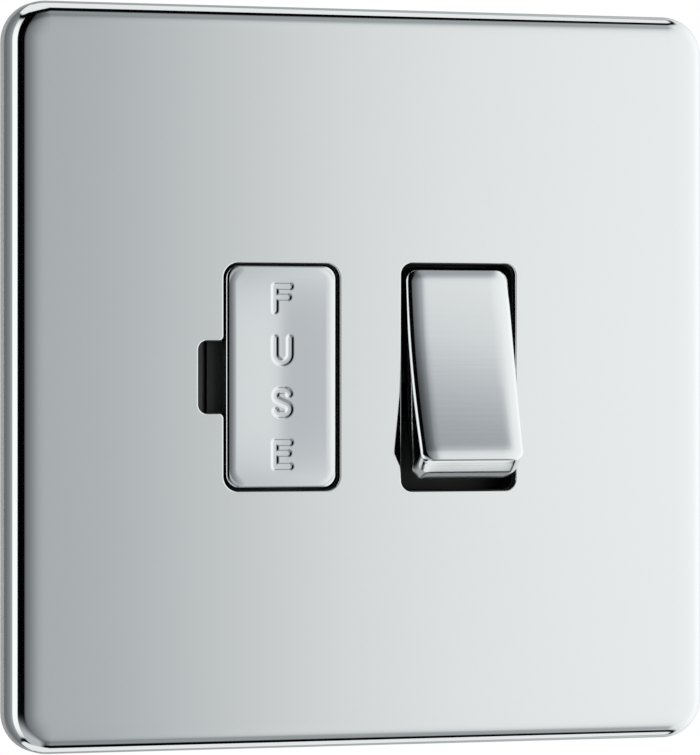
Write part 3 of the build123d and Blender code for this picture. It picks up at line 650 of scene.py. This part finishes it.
def chromium_plate():
    """Cover plate: buffed edges that roll over into folded walls, and two openings with rolled lips"""
    low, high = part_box("front_plate")
    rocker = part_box("rocker_cap")
    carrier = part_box("drawer_cap")
    floor = low.y + SHEET
    mesh = bmesh.new()
    arris = low.y + edge_fall(PLATE_EDGE, 0)
    face = rounded_panel(mesh, high.x - low.x, high.z - low.z, PLATE_CORNER, 0, arris, 0)
    steps = edge_steps(PLATE_EDGE)
    outline = ring_in(mesh, face, steps + [steps[-1] + FLAT_RING], lambda inset: edge_fall(PLATE_EDGE, inset))
    fuller_top(mesh, low, high)
    fronts = open_face(mesh, face)
    backs = fold_in(mesh, outline, high.y, SHEET, floor)
    grow = edge_widths(LIP_EDGE)[3] + FLAT_RING
    width, height = (size + 2 * grow for size in ROCKER_OPENING)
    rocker_x = (rocker[0].x + rocker[1].x) / 2
    openings = [
        rounded_panel(mesh, width, height, OPENING_R + grow, rocker_x, low.y, 0),
        fuse_panel(mesh, grow, (carrier[0].x + carrier[1].x) / 2, low.y),
    ]
    lip = [grow - step for step in reversed(edge_steps(LIP_EDGE))]
    for opening in openings:
        fronts += ring_in(mesh, opening, [0.0] + lip, lambda inset: edge_fall(LIP_EDGE, grow - inset))
        backs += draw_to(mesh, open_face(mesh, opening), floor)
    for loops in (fronts, backs):
        bmesh.ops.triangle_fill(mesh, edges=loops, use_beauty=True)
    bmesh.ops.recalc_face_normals(mesh, faces=mesh.faces)
    pry_slot(mesh, high.y, low.z)
    finish_piece("chromium_plate", mesh, "base", "polished_plate", "front_plate")


def panel_fall(x, z, half_x, half_z, corner, edges, soft_corner=0.0):
    """How far a panel has fallen at a place about its middle: each side's edge, blended round the corners"""
    side = edges["right" if x > 0 else "left"]
    end = edges["top" if z > 0 else "foot"]
    beside = half_x - abs(x)
    beyond = half_z - abs(z)
    inset, share = corner_inset(beside, beyond, corner) or (min(beside, beyond), float(beyond < beside))
    inset = max(inset, 0.0)
    rounds = round_fall(side, inset) * (1 - share) + round_fall(end, inset) * share
    soft = corner_inset(beside, beyond, soft_corner)
    if soft:
        inset, share = soft
        return rounds + band_fall(side, inset) * (1 - share) + band_fall(end, inset) * share
    return rounds + band_fall(side, beside) + band_fall(end, beyond)


def ring_steps(edges, limit):
    """Distances in from the outline for the rings of a panel whose sides differ, none too close together"""
    rings = [0.0]
    for step in sorted(step for edge in edges.values() for step in edge_steps(edge)):
        if step - rings[-1] > RING_GAP and step < limit - RING_GAP:
            rings.append(step)
    return rings


def chromium_rocker():
    """Rocker's cap: dished face, soft edges, bowed sides, and end walls that flare out with a knee"""
    half = (FACE_TOP + FACE_FOOT) / 2
    middle = FACE_TOP - half
    mesh = bmesh.new()
    face = rounded_panel(mesh, ROCKER_W, 2 * half, ROCKER_CORNER, 0, 0, middle)
    rings = ring_steps(ROCKER_EDGES, ROCKER_CORNER)
    loop = ring_in(mesh, face, rings, lambda inset: 0.0)
    for level in range(1, WALL_STEPS + 1):
        loop = draw_to(mesh, loop, level * MM)
    for i in range(-int(FACE_FOOT / ROCKER_CUT), int(FACE_TOP / ROCKER_CUT) + 1):
        slice_at(mesh, (0, 0, i * ROCKER_CUT), (0, 0, 1))
    for step in edge_steps(ROCKER_SIDE):
        if step > rings[-1]:
            for side in (-1, 1):
                slice_at(mesh, (side * (ROCKER_W / 2 - step), 0, 0), (1, 0, 0))
    for vert in mesh.verts:
        x, z = vert.co.x, vert.co.z
        level = round(vert.co.y / MM)
        dish = DISH_R - sqrt(DISH_R**2 - EDGE_HALF**2) - (DISH_R - sqrt(DISH_R**2 - z**2))
        y = dish - EDGE_RISE + panel_fall(x, z - middle, ROCKER_W / 2, half, ROCKER_CORNER, ROCKER_EDGES)
        if level > 0:
            share = level / WALL_STEPS
            reach = SKIRT_HALF - (FACE_TOP if z > 0 else FACE_FOOT)
            knee = hypot(END_KNEE, KNEE_ROUND) - hypot(share - END_KNEE, KNEE_ROUND)
            knee -= share * (hypot(END_KNEE, KNEE_ROUND) - hypot(1 - END_KNEE, KNEE_ROUND))
            z += z / half * (reach * share + KNEE_TURN * knee)
            y += (-SKIRT_RISE - y) * share
        x -= x / (ROCKER_W / 2) * SIDE_BOW * (z / SKIRT_HALF) ** 2
        vert.co = (x, y, z)
    bmesh.ops.recalc_face_normals(mesh, faces=mesh.faces)
    bmesh.ops.solidify(mesh, geom=list(mesh.faces), thickness=ROCKER_SKIN)
    place = Matrix.Translation(HINGE) @ Matrix.Rotation(-ROCKER_TILT, 4, "X")
    bmesh.ops.transform(mesh, matrix=place, verts=mesh.verts)
    finish_piece("chromium_rocker", mesh, "rocker", "polished_rocker", "rocker_cap")


def stroke_lines():
    """Centrelines of the letters' strokes, straight runs and arcs, in half widths about each letter's centre"""
    tall = 1.5
    stem = ("run", -1, -tall, -1, tall)
    top = ("run", -1, tall, 1, tall)
    middle = ("run", -1, 0.15, 0.75, 0.15)
    bottom = ("run", -1, -tall, 1, -tall)
    bend = 1 - tall
    # The S has a bowl at either end and a slope that leaves both at a tangent
    bowl = 0.65
    bowl_x = 0.3
    bowl_z = tall - bowl
    lean = degrees(asin(bowl / hypot(bowl_x, bowl_z))) - degrees(atan2(bowl_x, bowl_z))
    joint_x = bowl * cos(radians(270 - lean)) - bowl_x
    joint_z = bowl * sin(radians(270 - lean)) + bowl_z
    return [
        [stem, top, middle],
        [("run", -1, bend, -1, tall), ("run", 1, bend, 1, tall), ("arc", 0, bend, 1, 180, 360)],
        [
            ("arc", -bowl_x, bowl_z, bowl, 90, 270 - lean),
            ("run", -bowl_x, tall, bowl_x, tall),
            ("arc", bowl_x, bowl_z, bowl, 20, 90),
            ("run", joint_x, joint_z, -joint_x, -joint_z),
            ("arc", bowl_x, -bowl_z, bowl, -90, 90 - lean),
            ("run", bowl_x, -tall, -bowl_x, -tall),
            ("arc", -bowl_x, -bowl_z, bowl, 200, 270),
        ],
        [stem, top, middle, bottom],
    ]


def distance_to(stroke, x, z):
    """Distance from a point to a stroke's centreline"""
    kind, a, b, c, d = stroke[:5]
    if kind == "run":
        along = ((x - a) * (c - a) + (z - b) * (d - b)) / ((c - a) ** 2 + (d - b) ** 2)
        along = min(max(along, 0), 1)
        return hypot(x - a - along * (c - a), z - b - along * (d - b))
    start, end = d, stroke[5]
    bearing = start + (degrees(atan2(z - b, x - a)) - start) % 360
    if bearing <= end:
        return abs(hypot(x - a, z - b) - c)
    tips = [(a + c * cos(radians(t)), b + c * sin(radians(t))) for t in (start, end)]
    return min(hypot(x - u, z - w) for u, w in tips)


def groove_fall(x, z, letters):
    """Depth of the cut letters at a place about the word's middle"""
    last = len(letters) - 1
    index = min(max(round(last / 2 - z / LETTER_PITCH), 0), last)
    letter_x = x / LETTER_HALF
    letter_z = (z - (last / 2 - index) * LETTER_PITCH) / LETTER_HALF
    reach = LETTER_HALF * min(distance_to(stroke, letter_x, letter_z) for stroke in letters[index])
    share = min(max((GROOVE_HALF - reach) / (GROOVE_HALF - GROOVE_FLOOR), 0), 1)
    return GROOVE_DEPTH * share**2 * (3 - 2 * share)


def chromium_carrier():
    """Fuse carrier's cap: soft edges, a face that sinks a little round the word, and the word cut into it"""
    low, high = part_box("drawer_cap")
    word = (low + high) / 2 + Vector((WORD_X, 0, WORD_Z))
    low += Vector((LEFT_EASE, 0, FOOT_EASE))
    high -= Vector((RIGHT_EASE, 0, TOP_EASE))
    centre = (low + high) / 2
    width = high.x - low.x
    height = high.z - low.z
    mesh = bmesh.new()
    face = rounded_panel(mesh, width, height, CARRIER_CORNER, centre.x, low.y, centre.z)
    steps = ring_steps(CARRIER_EDGES, CARRIER_CORNER)
    ring_in(mesh, face, steps, lambda inset: 0.0)
    open_face(mesh, face)
    # Cuts across the rings where the soft corners turn, then the loops that these leave
    for i in range(SOFT_CUTS + 1):
        off = CARRIER_CORNER + (SOFT_CORNER - CARRIER_CORNER) * i / SOFT_CUTS
        for side in (-1, 1):
            slice_at(mesh, centre + Vector((side * (width / 2 - off), 0, 0)), (1, 0, 0))
            slice_at(mesh, centre + Vector((0, 0, side * (height / 2 - off))), (0, 0, 1))
    outline = []
    rim = []
    for edge in mesh.edges:
        if edge.is_boundary:
            middle = (edge.verts[0].co + edge.verts[1].co) / 2 - centre
            inset = min(width / 2 - abs(middle.x), height / 2 - abs(middle.z))
            (outline if inset < steps[-1] / 2 else rim).append(edge)
    # Face panel, fine enough for the grooves
    half_x = width / 2 - steps[-1] - FACE_STEP
    half_z = height / 2 - steps[-1] - FACE_STEP
    turn = Matrix.Translation((centre.x, low.y, centre.z)) @ Matrix.Rotation(pi / 2, 4, "X")
    panel = bmesh.ops.create_grid(
        mesh, x_segments=round(2 * half_x / FACE_STEP), y_segments=round(2 * half_z / FACE_STEP), size=1.0,
        matrix=turn @ Matrix.Diagonal((half_x, half_z, 1, 1)),
    )["verts"]
    inside = set(panel)
    border = [e for e in mesh.edges if e.is_boundary and e.verts[0] in inside]
    letters = stroke_lines()
    for vert in panel:
        x = vert.co.x - centre.x
        z = vert.co.z - centre.z
        sink = SINK_SLOPE * (hypot(half_x, SINK_ROUND) - hypot(x, SINK_ROUND)) * (1 - (z / half_z) ** 4)
        vert.co.y += max(sink, 0) + groove_fall(vert.co.x - word.x, vert.co.z - word.z, letters)
    bmesh.ops.triangle_fill(mesh, edges=rim + border, use_beauty=True)
    for vert in mesh.verts:
        x = vert.co.x - centre.x
        z = vert.co.z - centre.z
        vert.co.y += panel_fall(x, z, width / 2, height / 2, CARRIER_CORNER, CARRIER_EDGES, SOFT_CORNER)
    bmesh.ops.edgeloop_fill(mesh, edges=fold_in(mesh, outline, high.y, CARRIER_SKIN, low.y + CARRIER_SKIN))
    for vert in mesh.verts:
        if vert.co.y < low.y + CARRIER_SKIN:
            vert.co.y -= FACE_LEAN * (vert.co.x - centre.x)
    finish_piece("chromium_carrier", mesh, "fuse_carrier", "polished_carrier", "drawer_cap")


def studio_world():
    """White for the camera, an even soft fill for matt surfaces, and light panels for metal to mirror"""
    world = bpy.data.worlds.new("studio")
    bpy.context.scene.world = world
    world.use_nodes = True
    tree = world.node_tree
    tree.nodes.clear()
    coords = add_node(tree, "ShaderNodeTexCoord")
    axes = add_node(tree, "ShaderNodeSeparateXYZ", {"Vector": coords.outputs["Generated"]})
    forward = add_node(tree, "ShaderNodeMath", {0: axes.outputs["Y"], 1: -1.0}, operation="MULTIPLY")
    bearing = add_node(tree, "ShaderNodeMath", {
        0: axes.outputs["X"], 1: forward.outputs[0],
    }, operation="ARCTAN2")
    turn = add_node(tree, "ShaderNodeMapRange", {
        "Value": bearing.outputs[0], "From Min": -pi, "From Max": pi,
    })
    lift = add_node(tree, "ShaderNodeMath", {0: axes.outputs["Z"]}, operation="ARCSINE")
    height = add_node(tree, "ShaderNodeMath", {0: lift.outputs[0]}, operation="ABSOLUTE")
    eye_level, panel_top, ceiling_foot, ground_light = [
        set_stops(add_node(tree, "ShaderNodeValToRGB", {"Fac": turn.outputs[0]}), [
            ((angle + 180) / 360, value * unit) for angle, value in stops
        ]).outputs[0]
        for stops, unit in (
            (EYE_LEVEL, 1.0), (PANEL_TOP, radians(FALL_SPAN)), (CEILING, radians(1.0)), (GROUND, 1.0),
        )
    ]
    share = add_node(tree, "ShaderNodeMath", {0: height.outputs[0], 1: panel_top}, operation="DIVIDE")
    fall = set_stops(add_node(tree, "ShaderNodeValToRGB", {"Fac": share.outputs[0]}), [
        (place / FALL_SPAN, level) for place, level in PANEL_FALL
    ])
    lit = add_node(tree, "ShaderNodeMath", {0: eye_level, 1: fall.outputs[0]}, operation="MULTIPLY")
    start, end = PANEL_END
    cut = add_node(tree, "ShaderNodeMapRange", {
        "Value": height.outputs[0], "From Min": radians(start), "From Max": radians(end),
        "To Min": 1.0, "To Max": 0.0,
    }, interpolation_type="SMOOTHSTEP")
    panels = add_node(tree, "ShaderNodeMath", {0: lit.outputs[0], 1: cut.outputs[0]}, operation="MULTIPLY")
    above = add_node(tree, "ShaderNodeMath", {0: height.outputs[0], 1: ceiling_foot}, operation="SUBTRACT")
    ceiling = add_node(tree, "ShaderNodeMapRange", {
        "Value": above.outputs[0], "From Min": -radians(CEILING_EDGE), "From Max": radians(CEILING_EDGE),
        "To Max": CEILING_LIGHT,
    }, interpolation_type="SMOOTHSTEP")
    start, end = GROUND_RISE
    rise = add_node(tree, "ShaderNodeMapRange", {
        "Value": lift.outputs[0], "From Min": -radians(start), "From Max": -radians(end),
    }, interpolation_type="SMOOTHSTEP")
    ground = add_node(tree, "ShaderNodeMath", {0: rise.outputs[0], 1: ground_light}, operation="MULTIPLY")
    room = add_node(tree, "ShaderNodeMath", {
        0: ground.outputs[0], 1: ceiling.outputs[0],
    }, operation="MAXIMUM")
    mirrored = add_node(tree, "ShaderNodeMath", {
        0: panels.outputs[0], 1: room.outputs[0],
    }, operation="MAXIMUM")
    tint = set_stops(add_node(tree, "ShaderNodeValToRGB", {"Fac": mirrored.outputs[0]}), TINT)
    rays = add_node(tree, "ShaderNodeLightPath")
    unseen = add_node(tree, "ShaderNodeMix", {
        "Factor": rays.outputs["Is Glossy Ray"], "A": ROOM_FILL, "B": mirrored.outputs[0],
    })
    seen = add_node(tree, "ShaderNodeMix", {
        "Factor": rays.outputs["Is Camera Ray"], "A": unseen.outputs[0], "B": 1.0,
    })
    colour = add_node(tree, "ShaderNodeMix", {"Factor": rays.outputs["Is Glossy Ray"]}, data_type="RGBA")
    colour.inputs[6].default_value = (1, 1, 1, 1)
    tree.links.new(tint.outputs[0], colour.inputs[7])
    light = add_node(tree, "ShaderNodeBackground", {"Color": colour.outputs[2], "Strength": seen.outputs[0]})
    add_node(tree, "ShaderNodeOutputWorld", {"Surface": light.outputs[0]})


def pale_floor():
    """Painted floor, pale and even, that runs out into the white of the room"""
    material, tree, shader = new_material("painted_floor")
    shader.inputs["Base Color"].default_value = linear(FLOOR_COLOUR)
    shader.inputs["Roughness"].default_value = FLOOR_ROUGHNESS
    rays = add_node(tree, "ShaderNodeLightPath")
    coords = add_node(tree, "ShaderNodeTexCoord")
    far = add_node(tree, "ShaderNodeVectorMath", {0: coords.outputs["Object"]}, operation="LENGTH")
    start, end = FLOOR_FADE
    fade = add_node(tree, "ShaderNodeMapRange", {
        "Value": far.outputs["Value"], "From Min": start, "From Max": end,
    }, interpolation_type="SMOOTHSTEP")
    white = add_node(tree, "ShaderNodeEmission", {"Color": (1, 1, 1, 1), "Strength": 1.0})
    share = add_node(tree, "ShaderNodeMath", {
        0: fade.outputs[0], 1: rays.outputs["Is Camera Ray"],
    }, operation="MULTIPLY")
    mix = add_node(tree, "ShaderNodeMixShader", {
        0: share.outputs[0], 1: shader.outputs[0], 2: white.outputs[0],
    })
    output = next(n for n in tree.nodes if n.type == "OUTPUT_MATERIAL")
    tree.links.new(mix.outputs[0], output.inputs["Surface"])
    mesh = bmesh.new()
    place = Matrix.Translation((0, 0, cad_box[0].z - FLOOR_DROP))
    bmesh.ops.create_grid(mesh, x_segments=1, y_segments=1, size=FLOOR_SIZE, matrix=place)
    data = bpy.data.meshes.new("floor")
    mesh.to_mesh(data)
    mesh.free()
    data.materials.append(material)
    floor = bpy.data.objects.new("floor", data)
    bpy.context.scene.collection.objects.link(floor)
    floor.visible_glossy = False


def soft_lamp(name, place):
    """Large soft lamp turned to the object, unseen in the metal"""
    data = bpy.data.lights.new(name, "AREA")
    data.energy = LAMP_POWER
    data.size = LAMP_SIZE
    lamp = bpy.data.objects.new(name, data)
    bpy.context.scene.collection.objects.link(lamp)
    lamp.location = place
    lamp.rotation_mode = "QUATERNION"
    lamp.rotation_quaternion = (-Vector(place)).to_track_quat("-Z", "Y")
    lamp.visible_glossy = False


def camera():
    """Camera left of the plate's normal, at the photograph's distance and framing"""
    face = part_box("front_plate")[0].y
    data = bpy.data.cameras.new("camera")
    data.sensor_width = SENSOR
    data.lens = FOCAL_PIXELS * SENSOR / max(IMAGE_WIDTH, IMAGE_HEIGHT)
    view = bpy.data.objects.new("camera", data)
    bpy.context.scene.collection.objects.link(view)
    back = CAMERA_DISTANCE * cos(CAMERA_YAW)
    place = Vector((-CAMERA_DISTANCE * sin(CAMERA_YAW), face - back, -CAMERA_DROP))
    aim = Vector((AIM_X, face, AIM_Z))
    view.location = place
    view.rotation_mode = "QUATERNION"
    view.rotation_quaternion = (aim - place).to_track_quat("-Z", "Y")
    bpy.context.scene.camera = view


dress_nodes()
chromium_plate()
chromium_rocker()
chromium_carrier()
studio_world()
pale_floor()
soft_lamp("key", KEY_PLACE)
soft_lamp("rear", REAR_PLACE)
camera()
bpy.context.scene.view_settings.view_transform = "Standard"
